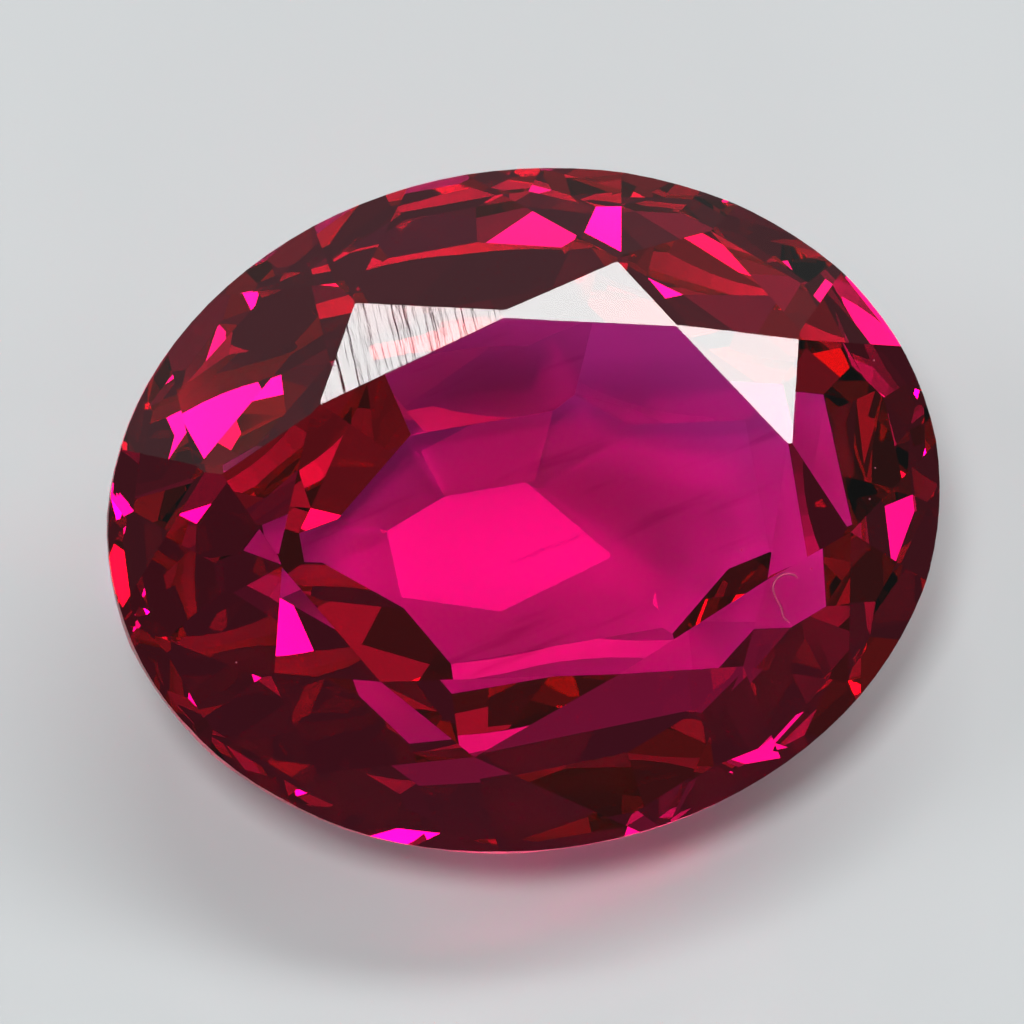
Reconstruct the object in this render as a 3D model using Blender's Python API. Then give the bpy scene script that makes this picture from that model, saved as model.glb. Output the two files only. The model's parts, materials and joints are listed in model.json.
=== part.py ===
"""Oval faceted spinel, about 10 x 8 mm, lying on one of its pavilion facets.

The stone is cut the way a gem is cut. An oval blank is ground flat by one plane after another:
the table first, then the crown mains, stars and upper halves, then three rows of pavilion steps.
It is one solid piece of crystal.

World frame: metres, +Z up. The stone's long axis lies along X, the table leans towards -Y, and
the origin is on the surface that the stone rests on, below the middle of its bounding box.
In the cutting frame the girdle's upper edge is the plane z = 0 and the table faces +Z.
"""
import math

import bmesh
import bpy
from mathutils import Matrix, Vector

MM = 0.001

# Outline and heights
LENGTH = 10.0 * MM
WIDTH = 8.1 * MM
GIRDLE_HEIGHT = 0.25 * MM
CROWN_HEIGHT = 1.30 * MM
GIRDLE_SIDES = 96
BLANK_DEPTH = 5.5 * MM

# Table: its eight corners, walking round from the back left one (x, y in mm)
TABLE_CORNERS = [
    (-2.42, 1.58), (-0.20, 2.20), (2.04, 1.71), (3.04, 0.20),
    (2.49, -1.41), (0.56, -2.21), (-2.24, -1.82), (-3.19, -0.22),
]

# Crown mains, one below each table corner: (direction, slope) in degrees
CROWN_MAINS = [
    (127, 37.8), (93, 36.1), (51, 33.8), (9, 36.7),
    (309, 35.5), (282, 36.3), (233, 35.7), (188, 35.8),
]
# How much deeper than its table corner a main is ground, in mm
MAIN_OVERCUTS = [0.05, 0.0, 0.015, 0.0, 0.0, 0.0, 0.0, 0.02]

# Star tips, one between each two mains: height above the girdle edge in mm
STAR_TIP_HEIGHTS = [0.95, 1.05, 0.91, 1.02, 0.97, 1.11, 0.97, 1.05]
STAR_OVERCUTS = [0.03, 0.0, 0.02, 0.0, 0.0, 0.0, 0.0, 0.0]

# Upper halves: directions in degrees of the points where each pair meets the girdle
MAIN_FEET = [143, 94, 45, 5, -40, -80, -140, -175]
HALF_FEET = [117, 64, 27, -20, -55, -105, -157, 162]

# Pavilion steps, in three rows below the girdle: slopes in degrees, insets from the girdle in mm
SIDES_ROUND = [
    "right", "back_right", "back", "back_left", "left", "front_left", "front", "front_right",
]
STEP_COUNT = len(SIDES_ROUND)
GIRDLE_STEP = {
    "right": 56.0, "back_right": 56.0, "back": 58.0, "back_left": 55.0,
    "left": 58.0, "front_left": 53.0, "front": 60.0, "front_right": 57.0,
}
MIDDLE_STEP = {
    "right": 36.0, "back_right": 35.5, "back": 36.5, "back_left": 37.5,
    "left": 37.0, "front_left": 37.0, "front": 32.0, "front_right": 38.0,
}
MIDDLE_INSET = {
    "right": 1.0, "back_right": 1.1, "back": 0.9, "back_left": 1.1,
    "left": 1.05, "front_left": 1.1, "front": 0.9, "front_right": 1.1,
}
KEEL_STEP = {
    "right": 20.0, "back_right": 20.0, "back": 21.0, "back_left": 21.0,
    "left": 20.0, "front_left": 23.0, "front": 18.0, "front_right": 23.0,
}
KEEL_INSET = {
    "right": 2.1, "back_right": 2.8, "back": 2.85, "back_left": 3.0,
    "left": 2.4, "front_left": 3.3, "front": 2.45, "front_right": 3.2,
}

REST_SLOPE = KEEL_STEP["front"]

SPINEL_PINK = (0.72, 0.02, 0.22, 1.0)
SPINEL_IOR = 1.718


def clear_scene():
    for obj in list(bpy.data.objects):
        bpy.data.objects.remove(obj, do_unlink=True)


def outline_point(direction):
    """Point of the girdle outline in a direction in degrees, on the girdle's upper edge."""
    angle = math.radians(direction)
    reach = 1.0 / math.hypot(math.cos(angle) / (LENGTH / 2), math.sin(angle) / (WIDTH / 2))
    return Vector((reach * math.cos(angle), reach * math.sin(angle), 0.0))


def outline_reach(direction):
    """How far the outline goes in a direction, measured square to a straight edge laid on it."""
    angle = math.radians(direction)
    return math.hypot(LENGTH / 2 * math.cos(angle), WIDTH / 2 * math.sin(angle))


def facet_normal(direction, slope, side):
    """Outward normal of a facet. Side is 1 on the crown and -1 on the pavilion."""
    turn, tilt = math.radians(direction), math.radians(slope)
    flat = math.sin(tilt)
    return Vector((flat * math.cos(turn), flat * math.sin(turn), side * math.cos(tilt)))


def plane_at(point, normal):
    """A plane as its unit normal and its distance from the origin."""
    return normal, normal.dot(point)


def plane_through(first, second, third):
    """The crown plane through three points, facing up."""
    normal = (second - first).cross(third - first).normalized()
    if normal.z < 0:
        normal.negate()
    return plane_at(first, normal)


def meeting_point(first, second, height):
    """Point at a given height on the line where two planes meet."""
    (n1, d1), (n2, d2) = first, second
    rest1, rest2 = d1 - n1.z * height, d2 - n2.z * height
    area = n1.x * n2.y - n1.y * n2.x
    x = (rest1 * n2.y - rest2 * n1.y) / area
    y = (n1.x * rest2 - n2.x * rest1) / area
    return Vector((x, y, height))


def deeper(plane, depth):
    normal, distance = plane
    return normal, distance - depth


def crown_planes():
    table = (Vector((0.0, 0.0, 1.0)), CROWN_HEIGHT)
    corners = [Vector((x * MM, y * MM, CROWN_HEIGHT)) for x, y in TABLE_CORNERS]
    mains = [plane_at(corner, facet_normal(direction, slope, 1))
             for corner, (direction, slope) in zip(corners, CROWN_MAINS)]
    count = len(mains)
    stars, halves = [], []
    for k in range(count):
        following = (k + 1) % count
        tip = meeting_point(mains[k], mains[following], STAR_TIP_HEIGHTS[k] * MM)
        star = plane_through(corners[k], corners[following], tip)
        stars.append(deeper(star, STAR_OVERCUTS[k] * MM))
        foot = outline_point(HALF_FEET[k])
        halves.append(plane_through(tip, outline_point(MAIN_FEET[k]), foot))
        halves.append(plane_through(tip, outline_point(MAIN_FEET[following]), foot))
    mains = [deeper(main, cut * MM) for main, cut in zip(mains, MAIN_OVERCUTS)]
    return [table] + mains + stars + halves


def step_direction(turn):
    """Direction of the outline's normal at a turn round the oval, in degrees."""
    angle = math.radians(turn)
    return math.degrees(math.atan2(math.sin(angle) / WIDTH, math.cos(angle) / LENGTH))


def depth_under(planes, x, y):
    """Depth of the ground surface at a place in plan."""
    return min((distance - normal.x * x - normal.y * y) / -normal.z for normal, distance in planes)


def girdle_step_planes():
    planes = []
    for k in range(2 * STEP_COUNT):
        before = GIRDLE_STEP[SIDES_ROUND[k // 2]]
        after = GIRDLE_STEP[SIDES_ROUND[((k + 1) // 2) % STEP_COUNT]]
        direction = step_direction(k * 180.0 / STEP_COUNT)
        normal = facet_normal(direction, (before + after) / 2, -1)
        angle = math.radians(direction)
        reach = outline_reach(direction)
        edge = Vector((reach * math.cos(angle), reach * math.sin(angle), -GIRDLE_HEIGHT))
        planes.append(plane_at(edge, normal))
    return planes


def step_planes(slopes, insets, above):
    """One row of steps, each starting where the row above it is at the row's inset."""
    planes = []
    for k, side in enumerate(SIDES_ROUND):
        direction = step_direction(k * 360.0 / STEP_COUNT)
        angle = math.radians(direction)
        reach = outline_reach(direction) - insets[side] * MM
        x, y = reach * math.cos(angle), reach * math.sin(angle)
        edge = Vector((x, y, -depth_under(above, x, y)))
        planes.append(plane_at(edge, facet_normal(direction, slopes[side], -1)))
    return planes


def pavilion_planes():
    upper = girdle_step_planes()
    middle = step_planes(MIDDLE_STEP, MIDDLE_INSET, upper)
    keel = step_planes(KEEL_STEP, KEEL_INSET, upper + middle)
    return upper + middle + keel


def oval_blank():
    """The preform: an upright oval prism, taller than the finished stone."""
    shape = bmesh.new()
    bmesh.ops.create_cone(shape, cap_ends=True, segments=GIRDLE_SIDES, radius1=0.5, radius2=0.5,
                          depth=1.0)
    height = CROWN_HEIGHT + BLANK_DEPTH
    bmesh.ops.scale(shape, vec=(LENGTH, WIDTH, height), verts=shape.verts)
    bmesh.ops.translate(shape, vec=(0, 0, CROWN_HEIGHT - height / 2), verts=shape.verts)
    return shape


def grind(shape, plane):
    """Cut away what lies outside a plane and close the flat facet that is left."""
    normal, distance = plane
    everything = list(shape.verts) + list(shape.edges) + list(shape.faces)
    cut = bmesh.ops.bisect_plane(shape, geom=everything, dist=1e-8, plane_co=normal * distance,
                                 plane_no=normal, clear_outer=True)
    rim = [piece for piece in cut["geom_cut"] if isinstance(piece, bmesh.types.BMEdge)]
    open_rim = [edge for edge in rim if edge.is_boundary]
    if open_rim:
        bmesh.ops.contextual_create(shape, geom=open_rim)


def lay_on_facet(shape):
    """Turn the stone on to its front keel step and bring that facet down to z = 0."""
    turn = Matrix.Rotation(math.radians(REST_SLOPE), 3, "X")
    bmesh.ops.rotate(shape, cent=(0, 0, 0), matrix=turn, verts=shape.verts)
    low = [min(v.co[axis] for v in shape.verts) for axis in range(3)]
    high = [max(v.co[axis] for v in shape.verts) for axis in range(3)]
    shift = (-(low[0] + high[0]) / 2, -(low[1] + high[1]) / 2, -low[2])
    bmesh.ops.translate(shape, vec=shift, verts=shape.verts)


def spinel_material():
    material = bpy.data.materials.new("spinel")
    material.use_nodes = True
    surface = material.node_tree.nodes["Principled BSDF"]
    surface.inputs["Base Color"].default_value = SPINEL_PINK
    surface.inputs["Roughness"].default_value = 0.02
    surface.inputs["Metallic"].default_value = 0.0
    surface.inputs["IOR"].default_value = SPINEL_IOR
    surface.inputs["Transmission Weight"].default_value = 1.0
    return material


def cut_spinel(collection):
    shape = oval_blank()
    for plane in crown_planes() + pavilion_planes():
        grind(shape, plane)
    bmesh.ops.remove_doubles(shape, verts=shape.verts, dist=2e-6)
    bmesh.ops.dissolve_degenerate(shape, edges=shape.edges, dist=1e-6)
    lay_on_facet(shape)
    bmesh.ops.recalc_face_normals(shape, faces=shape.faces)
    mesh = bpy.data.meshes.new("spinel")
    shape.to_mesh(mesh)
    shape.free()
    mesh.materials.append(spinel_material())
    stone = bpy.data.objects.new("spinel", mesh)
    collection.objects.link(stone)
    return stone


def main():
    clear_scene()
    collection = bpy.data.collections.new("faceted_spinel")
    bpy.context.scene.collection.children.link(collection)
    cut_spinel(collection)


main()
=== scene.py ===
import json
import math

import bmesh
import bpy
from mathutils import Matrix, Vector


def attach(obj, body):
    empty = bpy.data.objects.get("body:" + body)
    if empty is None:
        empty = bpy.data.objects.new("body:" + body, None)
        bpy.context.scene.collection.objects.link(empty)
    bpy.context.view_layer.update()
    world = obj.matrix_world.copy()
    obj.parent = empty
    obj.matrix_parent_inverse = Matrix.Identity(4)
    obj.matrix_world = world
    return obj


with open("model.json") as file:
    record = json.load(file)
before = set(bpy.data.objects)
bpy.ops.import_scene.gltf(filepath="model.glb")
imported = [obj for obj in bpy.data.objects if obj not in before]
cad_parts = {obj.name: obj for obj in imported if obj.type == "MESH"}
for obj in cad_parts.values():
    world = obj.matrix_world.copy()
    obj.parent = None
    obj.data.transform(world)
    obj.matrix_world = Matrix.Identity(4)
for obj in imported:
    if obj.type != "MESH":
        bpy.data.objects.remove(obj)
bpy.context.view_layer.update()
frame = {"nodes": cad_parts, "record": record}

scene = bpy.context.scene
MM = 0.001

# The stone's own directions.
# The table is the large flat facet on top. Its middle and the way it faces come from the frame,
# and the rest of the stone is placed from them.
table = next(mount for mount in frame["record"]["mounts"] if mount["name"] == "table")
TABLE_MIDDLE = Vector(table["pos_m"])
TABLE_UP = Vector(table["axis"]).normalized()
LONG_AXIS = Vector((1.0, 0.0, 0.0))
SHORT_AXIS = TABLE_UP.cross(LONG_AXIS)
CROWN_HEIGHT = 1.30 * MM
TABLE_OFF_CENTRE = (-0.075 * MM, -0.026 * MM)
GIRDLE_MIDDLE = (TABLE_MIDDLE - TABLE_UP * CROWN_HEIGHT
                 - LONG_AXIS * TABLE_OFF_CENTRE[0] - SHORT_AXIS * TABLE_OFF_CENTRE[1])

# The view.
# The camera looks almost square on to the table, from a little to its left and in front, through
# a long lens, with the oval's long axis rising to the right.
CAMERA_TO_SIDE = -18.6
CAMERA_RISE = 66.5
CAMERA_ROLL = 7.4
CAMERA_DISTANCE = 150 * MM
PICTURE_PIXELS = 1024
PIXELS_PER_MM = 84.3
GIRDLE_MIDDLE_PIXEL = (527.3, 510.2)
SENSOR_WIDTH = 36.0
NEAREST, FARTHEST = 2 * MM, 10.0


def camera_axes():
    side, rise, roll = (math.radians(v) for v in (CAMERA_TO_SIDE, CAMERA_RISE, CAMERA_ROLL))
    towards = Vector((math.sin(side) * math.cos(rise), -math.cos(side) * math.cos(rise),
                      math.sin(rise)))
    level = Vector((0, 0, 1)).cross(towards).normalized()
    upright = towards.cross(level)
    right = level * math.cos(roll) + upright * math.sin(roll)
    up = upright * math.cos(roll) - level * math.sin(roll)
    return right, up, towards


cam_right, cam_up, cam_towards = camera_axes()
half = PICTURE_PIXELS / 2
aim = (GIRDLE_MIDDLE - cam_right * ((GIRDLE_MIDDLE_PIXEL[0] - half) / PIXELS_PER_MM * MM)
       + cam_up * ((GIRDLE_MIDDLE_PIXEL[1] - half) / PIXELS_PER_MM * MM))
camera_data = bpy.data.cameras.new("camera")
camera_data.sensor_width = SENSOR_WIDTH
camera_data.lens = SENSOR_WIDTH * CAMERA_DISTANCE * PIXELS_PER_MM / (PICTURE_PIXELS * MM)
camera_data.clip_start, camera_data.clip_end = NEAREST, FARTHEST
camera = bpy.data.objects.new("camera", camera_data)
scene.collection.objects.link(camera)
camera.matrix_world = Matrix.Translation(aim + cam_towards * CAMERA_DISTANCE) @ Matrix(
    (cam_right, cam_up, cam_towards)).transposed().to_4x4()
scene.camera = camera

# The spinel.
# One clear crystal, ground to flat facets and polished. Its colour is in the crystal, so long ways
# through it are deep red. The girdle is left ground and unpolished, one star shows fine polishing
# lines, and faint long smears darken the colour of the table facet across the middle.
SPINEL_IOR = 1.718
ABSORPTION_PER_METRE = 1000.0
KEPT_COLOUR = (0.96, 0.05, 0.77)
GIRDLE_ROUGHNESS = 0.45
GIRDLE_COSINE = 0.02
SAME_FACET_COSINE = 0.9994
STAR_DIRECTION, STAR_SLOPE = 105.6, 23.2
LINE_SPACING = 0.11 * MM
LINE_TURN, LINE_STRETCH = 28.0, 0.03
LINE_STRENGTH, LINE_DEPTH = 0.6, 0.012 * MM
WISP_LENGTH, WISP_WIDTH = 2.6 * MM, 0.30 * MM
WISP_RISE = 12.0
WISP_FAINT, WISP_FULL = 0.56, 0.72
WISP_SHADE = (0.68, 0.50, 0.62)


def in_stone(direction, slope):
    """A crown facet's outward direction, from its direction and slope on the stone."""
    turn, tilt = math.radians(direction), math.radians(slope)
    level = LONG_AXIS * math.cos(turn) + SHORT_AXIS * math.sin(turn)
    return level * math.sin(tilt) + TABLE_UP * math.cos(tilt)


def new_group(name, inputs, outputs):
    group = bpy.data.node_groups.new(name, "ShaderNodeTree")
    for socket, kind in inputs:
        group.interface.new_socket(name=socket, in_out="INPUT", socket_type=kind)
    for socket, kind in outputs:
        group.interface.new_socket(name=socket, in_out="OUTPUT", socket_type=kind)
    return group, group.nodes.new("NodeGroupInput"), group.nodes.new("NodeGroupOutput")


def math_node(tree, operation, first, second):
    node = tree.nodes.new("ShaderNodeMath")
    node.operation = operation
    for socket, value in zip(node.inputs, (first, second)):
        if isinstance(value, (int, float)):
            socket.default_value = value
        else:
            tree.links.new(value, socket)
    return node.outputs["Value"]


def facing_group():
    """How far the flat facet faces a direction: the cosine of the angle between the two."""
    group, given, result = new_group("facing", [("Direction", "NodeSocketVector")],
                                     [("Cosine", "NodeSocketFloat")])
    geometry = group.nodes.new("ShaderNodeNewGeometry")
    dot = group.nodes.new("ShaderNodeVectorMath")
    dot.operation = "DOT_PRODUCT"
    group.links.new(geometry.outputs["True Normal"], dot.inputs[0])
    group.links.new(given.outputs["Direction"], dot.inputs[1])
    group.links.new(dot.outputs["Value"], result.inputs["Cosine"])
    return group


def polish_lines_group():
    """Fine, almost straight lines in one direction, as a height for a bump."""
    group, given, result = new_group(
        "polish_lines", [("Spacing", "NodeSocketFloat"), ("Mask", "NodeSocketFloat")],
        [("Height", "NodeSocketFloat")])
    place = group.nodes.new("ShaderNodeTexCoord")
    lines = group.nodes.new("ShaderNodeTexNoise")
    squeeze = group.nodes.new("ShaderNodeMapping")
    squeeze.inputs["Rotation"].default_value = (0.0, 0.0, math.radians(LINE_TURN))
    squeeze.inputs["Scale"].default_value = (1.0, LINE_STRETCH, LINE_STRETCH)
    lines.inputs["Detail"].default_value = 4.0
    group.links.new(place.outputs["Object"], squeeze.inputs["Vector"])
    group.links.new(squeeze.outputs["Vector"], lines.inputs["Vector"])
    group.links.new(math_node(group, "DIVIDE", 1.0, given.outputs["Spacing"]),
                    lines.inputs["Scale"])
    group.links.new(math_node(group, "MULTIPLY", lines.outputs["Fac"], given.outputs["Mask"]),
                    result.inputs["Height"])
    return group


def wisps_group():
    """Long faint smears, as a mask."""
    group, given, result = new_group(
        "wisps", [("Length", "NodeSocketFloat"), ("Width", "NodeSocketFloat")],
        [("Mask", "NodeSocketFloat")])
    place = group.nodes.new("ShaderNodeTexCoord")
    turn = group.nodes.new("ShaderNodeVectorRotate")
    turn.rotation_type = "Z_AXIS"
    turn.inputs["Angle"].default_value = -math.radians(WISP_RISE)
    parts = group.nodes.new("ShaderNodeSeparateXYZ")
    whole = group.nodes.new("ShaderNodeCombineXYZ")
    cloud = group.nodes.new("ShaderNodeTexNoise")
    cloud.inputs["Scale"].default_value = 1.0
    cloud.inputs["Detail"].default_value = 3.0
    group.links.new(place.outputs["Object"], turn.inputs["Vector"])
    group.links.new(turn.outputs["Vector"], parts.inputs["Vector"])
    group.links.new(math_node(group, "DIVIDE", parts.outputs["X"], given.outputs["Length"]),
                    whole.inputs["X"])
    group.links.new(math_node(group, "DIVIDE", parts.outputs["Y"], given.outputs["Width"]),
                    whole.inputs["Y"])
    group.links.new(whole.outputs["Vector"], cloud.inputs["Vector"])
    thin = group.nodes.new("ShaderNodeMapRange")
    thin.interpolation_type = "SMOOTHSTEP"
    thin.inputs["From Min"].default_value = WISP_FAINT
    thin.inputs["From Max"].default_value = WISP_FULL
    group.links.new(cloud.outputs["Fac"], thin.inputs["Value"])
    group.links.new(thin.outputs["Result"], result.inputs["Mask"])
    return group


def use_group(tree, group, **values):
    node = tree.nodes.new("ShaderNodeGroup")
    node.node_tree = group
    for socket, value in values.items():
        node.inputs[socket].default_value = value
    return node


def spinel_material():
    material = bpy.data.materials.new("spinel_crystal")
    material.use_nodes = True
    tree = material.node_tree
    nodes, links = tree.nodes, tree.links
    surface = nodes["Principled BSDF"]
    surface.inputs["IOR"].default_value = SPINEL_IOR
    surface.inputs["Transmission Weight"].default_value = 1.0
    facing = facing_group()
    towards_table = use_group(tree, facing, Direction=TABLE_UP).outputs["Cosine"]
    towards_star = use_group(tree, facing, Direction=in_stone(STAR_DIRECTION, STAR_SLOPE))
    off_table = math_node(tree, "ABSOLUTE", towards_table, 0.0)
    on_edge = math_node(tree, "LESS_THAN", off_table, GIRDLE_COSINE)
    links.new(math_node(tree, "MULTIPLY", on_edge, GIRDLE_ROUGHNESS), surface.inputs["Roughness"])
    on_star = math_node(tree, "GREATER_THAN", towards_star.outputs["Cosine"],
                        SAME_FACET_COSINE)
    lines = use_group(tree, polish_lines_group(), Spacing=LINE_SPACING)
    links.new(on_star, lines.inputs["Mask"])
    bump = nodes.new("ShaderNodeBump")
    bump.inputs["Strength"].default_value = LINE_STRENGTH
    bump.inputs["Distance"].default_value = LINE_DEPTH
    links.new(lines.outputs["Height"], bump.inputs["Height"])
    links.new(bump.outputs["Normal"], surface.inputs["Normal"])
    # Faint long smears darken the colour of the table facet only.
    wisps = use_group(tree, wisps_group(), Length=WISP_LENGTH, Width=WISP_WIDTH)
    on_table = math_node(tree, "GREATER_THAN", towards_table, SAME_FACET_COSINE)
    shade = nodes.new("ShaderNodeMix")
    shade.data_type = "RGBA"
    shade.inputs["A"].default_value = (1.0, 1.0, 1.0, 1.0)
    shade.inputs["B"].default_value = (*WISP_SHADE, 1.0)
    links.new(math_node(tree, "MULTIPLY", wisps.outputs["Mask"], on_table), shade.inputs["Factor"])
    links.new(shade.outputs["Result"], surface.inputs["Base Color"])
    crystal = nodes.new("ShaderNodeVolumeAbsorption")
    crystal.inputs["Color"].default_value = (*KEPT_COLOUR, 1.0)
    crystal.inputs["Density"].default_value = ABSORPTION_PER_METRE
    links.new(crystal.outputs["Volume"], nodes["Material Output"].inputs["Volume"])
    return material


stone = frame["nodes"]["spinel"]
stone.data.materials.clear()
stone.data.materials.append(spinel_material())

# The lint and the dust.
# One short reddish textile fibre lies curled on the right of the crown, with specks of dust on the
# facets. Places are seen from the camera: mm to the right of the girdle's middle, and up from it.
FIBRE_ROUTE = [
    (3.18, -0.80), (3.14, -0.76), (2.96, -0.78), (2.89, -0.90), (2.91, -1.00),
    (2.99, -1.16), (3.01, -1.25), (3.09, -1.32),
]
FIBRE_RADIUS = 0.007 * MM
FIBRE_LIFT = 1.5 * FIBRE_RADIUS
DUST_SPECKS = [
    (2.52, -0.47), (3.35, -0.69), (4.05, 0.13), (4.12, 0.50), (4.12, 1.78), (-3.42, -1.79),
]
DUST_RADIUS = 0.011 * MM
DUST_LIFT = 0.6 * DUST_RADIUS
LINT_COLOUR = (0.34, 0.09, 0.14, 1.0)
LINT_ROUGHNESS = 0.8
SIGHT_START = 20 * MM


def on_stone(right, up):
    """The place on the stone that shows at a place in the picture."""
    seen = GIRDLE_MIDDLE + (cam_right * right + cam_up * up) * MM
    found, place, normal, face = stone.ray_cast(seen + cam_towards * SIGHT_START, -cam_towards)
    return place, normal


def lint_material():
    material = bpy.data.materials.new("lint")
    material.use_nodes = True
    surface = material.node_tree.nodes["Principled BSDF"]
    surface.inputs["Base Color"].default_value = LINT_COLOUR
    surface.inputs["Roughness"].default_value = LINT_ROUGHNESS
    return material


def lint_fibre(material):
    curve = bpy.data.curves.new("lint_fibre", "CURVE")
    curve.dimensions = "3D"
    curve.bevel_depth = FIBRE_RADIUS
    curve.bevel_resolution = 1
    curve.resolution_u = 4
    curve.use_fill_caps = True
    spline = curve.splines.new("BEZIER")
    spline.bezier_points.add(len(FIBRE_ROUTE) - 1)
    for point, (right, up) in zip(spline.bezier_points, FIBRE_ROUTE):
        place, normal = on_stone(right, up)
        point.co = place + normal * FIBRE_LIFT
        point.handle_left_type = point.handle_right_type = "AUTO"
    curve.materials.append(material)
    fibre = bpy.data.objects.new("lint_fibre", curve)
    scene.collection.objects.link(fibre)
    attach(fibre, "root")


def dust_specks(material):
    for number, (right, up) in enumerate(DUST_SPECKS, 1):
        shape = bmesh.new()
        bmesh.ops.create_icosphere(shape, subdivisions=1, radius=DUST_RADIUS)
        mesh = bpy.data.meshes.new("dust_speck")
        shape.to_mesh(mesh)
        shape.free()
        mesh.materials.append(material)
        speck = bpy.data.objects.new("dust_speck_%d" % number, mesh)
        place, normal = on_stone(right, up)
        speck.location = place + normal * DUST_LIFT
        scene.collection.objects.link(speck)
        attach(speck, "root")


lint = lint_material()
lint_fibre(lint)
dust_specks(lint)

# The floor.
# A plain pale card that the stone lies on, square to the view. Its near and side edges are just
# outside the picture, so that the stone's low front facets mirror the dark room and not the card.
CARD_COLOUR = (0.515, 0.54, 0.55, 1.0)
CARD_ROUGHNESS = 0.9
CARD_LEFT, CARD_RIGHT = -7.8 * MM, 7.2 * MM
CARD_FRONT, CARD_BACK = -6.6 * MM, 40 * MM
CARD_THICKNESS = 0.4 * MM
AIR_GAP = 0.03 * MM


def floor():
    shape = bmesh.new()
    bmesh.ops.create_cube(shape, size=1.0)
    size = (CARD_RIGHT - CARD_LEFT, CARD_BACK - CARD_FRONT, CARD_THICKNESS)
    bmesh.ops.scale(shape, vec=size, verts=shape.verts)
    middle = (CARD_LEFT + size[0] / 2, CARD_FRONT + size[1] / 2, -AIR_GAP - size[2] / 2)
    bmesh.ops.translate(shape, vec=middle, verts=shape.verts)
    mesh = bpy.data.meshes.new("floor")
    shape.to_mesh(mesh)
    shape.free()
    material = bpy.data.materials.new("floor_pale")
    material.use_nodes = True
    surface = material.node_tree.nodes["Principled BSDF"]
    surface.inputs["Base Color"].default_value = CARD_COLOUR
    surface.inputs["Roughness"].default_value = CARD_ROUGHNESS
    mesh.materials.append(material)
    card = bpy.data.objects.new("floor", mesh)
    card.rotation_euler.z = math.radians(CAMERA_TO_SIDE)
    scene.collection.objects.link(card)


floor()

# The light.
# Soft panels in a dim room. The three back stars mirror the long, level key panel overhead. The
# small bright one near the view shines through the table on to the card. Weaker ones stand behind,
# in front and on both sides. Each: name, way to its middle, length, width, turn, brightness.
PANELS = [
    ("key_panel", (0.45, 0.41, 1.0), 1.24, 0.20, -14.0, 11.0),
    ("low_panel", (0.0, 1.0, 0.10), 0.9, 0.14, 0.0, 7.0),
    ("left_panel", (-0.70, 0.14, 0.70), 0.38, 0.38, 0.0, 4.0),
    ("right_panel", (0.90, -0.16, 0.40), 0.22, 0.22, 0.0, 8.0),
    ("front_panel", (-0.08, -0.85, 0.52), 0.26, 0.22, 0.0, 3.0),
    ("fill_panel", (-0.19, -0.17, 0.967), 0.18, 0.18, 0.0, 46.0),
]
PANEL_DISTANCE = 0.50
ROOM_DARK, ROOM_BACK = 0.05, 0.20
BACK_STARTS, BACK_FULL = 0.1, 0.8
PICTURE_GAMMA = 1.1
LIGHT_BOUNCES = 12


def soft_panel(name, way, length, width, turn, brightness):
    data = bpy.data.lights.new(name, "AREA")
    data.shape = "RECTANGLE"
    data.size, data.size_y = length * PANEL_DISTANCE, width * PANEL_DISTANCE
    data.energy = brightness * math.pi * data.size * data.size_y
    panel = bpy.data.objects.new(name, data)
    panel.location = Vector(way) * PANEL_DISTANCE
    if way[2] < 1.0:
        panel.rotation_euler = Vector(way).to_track_quat("Z", "Y").to_euler()
    panel.rotation_euler.z += math.radians(turn)
    scene.collection.objects.link(panel)


def room():
    world = bpy.data.worlds.new("room")
    world.use_nodes = True
    nodes, links = world.node_tree.nodes, world.node_tree.links
    direction = nodes.new("ShaderNodeTexCoord")
    parts = nodes.new("ShaderNodeSeparateXYZ")
    links.new(direction.outputs["Generated"], parts.inputs["Vector"])
    back = nodes.new("ShaderNodeMapRange")
    back.interpolation_type = "SMOOTHSTEP"
    back.inputs["From Min"].default_value = BACK_STARTS
    back.inputs["From Max"].default_value = BACK_FULL
    back.inputs["To Min"].default_value = ROOM_DARK
    back.inputs["To Max"].default_value = ROOM_BACK
    links.new(parts.outputs["Y"], back.inputs["Value"])
    links.new(back.outputs["Result"], nodes["Background"].inputs["Strength"])
    nodes["Background"].inputs["Color"].default_value = (1.0, 1.0, 1.0, 1.0)
    return world


for name, way, length, width, turn, brightness in PANELS:
    soft_panel(name, way, length, width, turn, brightness)
scene.world = room()
scene.world.cycles.sampling_method = "NONE"
scene.view_settings.view_transform = "Standard"
scene.view_settings.gamma = PICTURE_GAMMA
scene.cycles.max_bounces = LIGHT_BOUNCES
scene.cycles.transmission_bounces = LIGHT_BOUNCES
scene.cycles.glossy_bounces = LIGHT_BOUNCES
scene.cycles.use_light_tree = False
scene.cycles.caustics_reflective = True
scene.cycles.caustics_refractive = True
scene.cycles.blur_glossy = 0.0
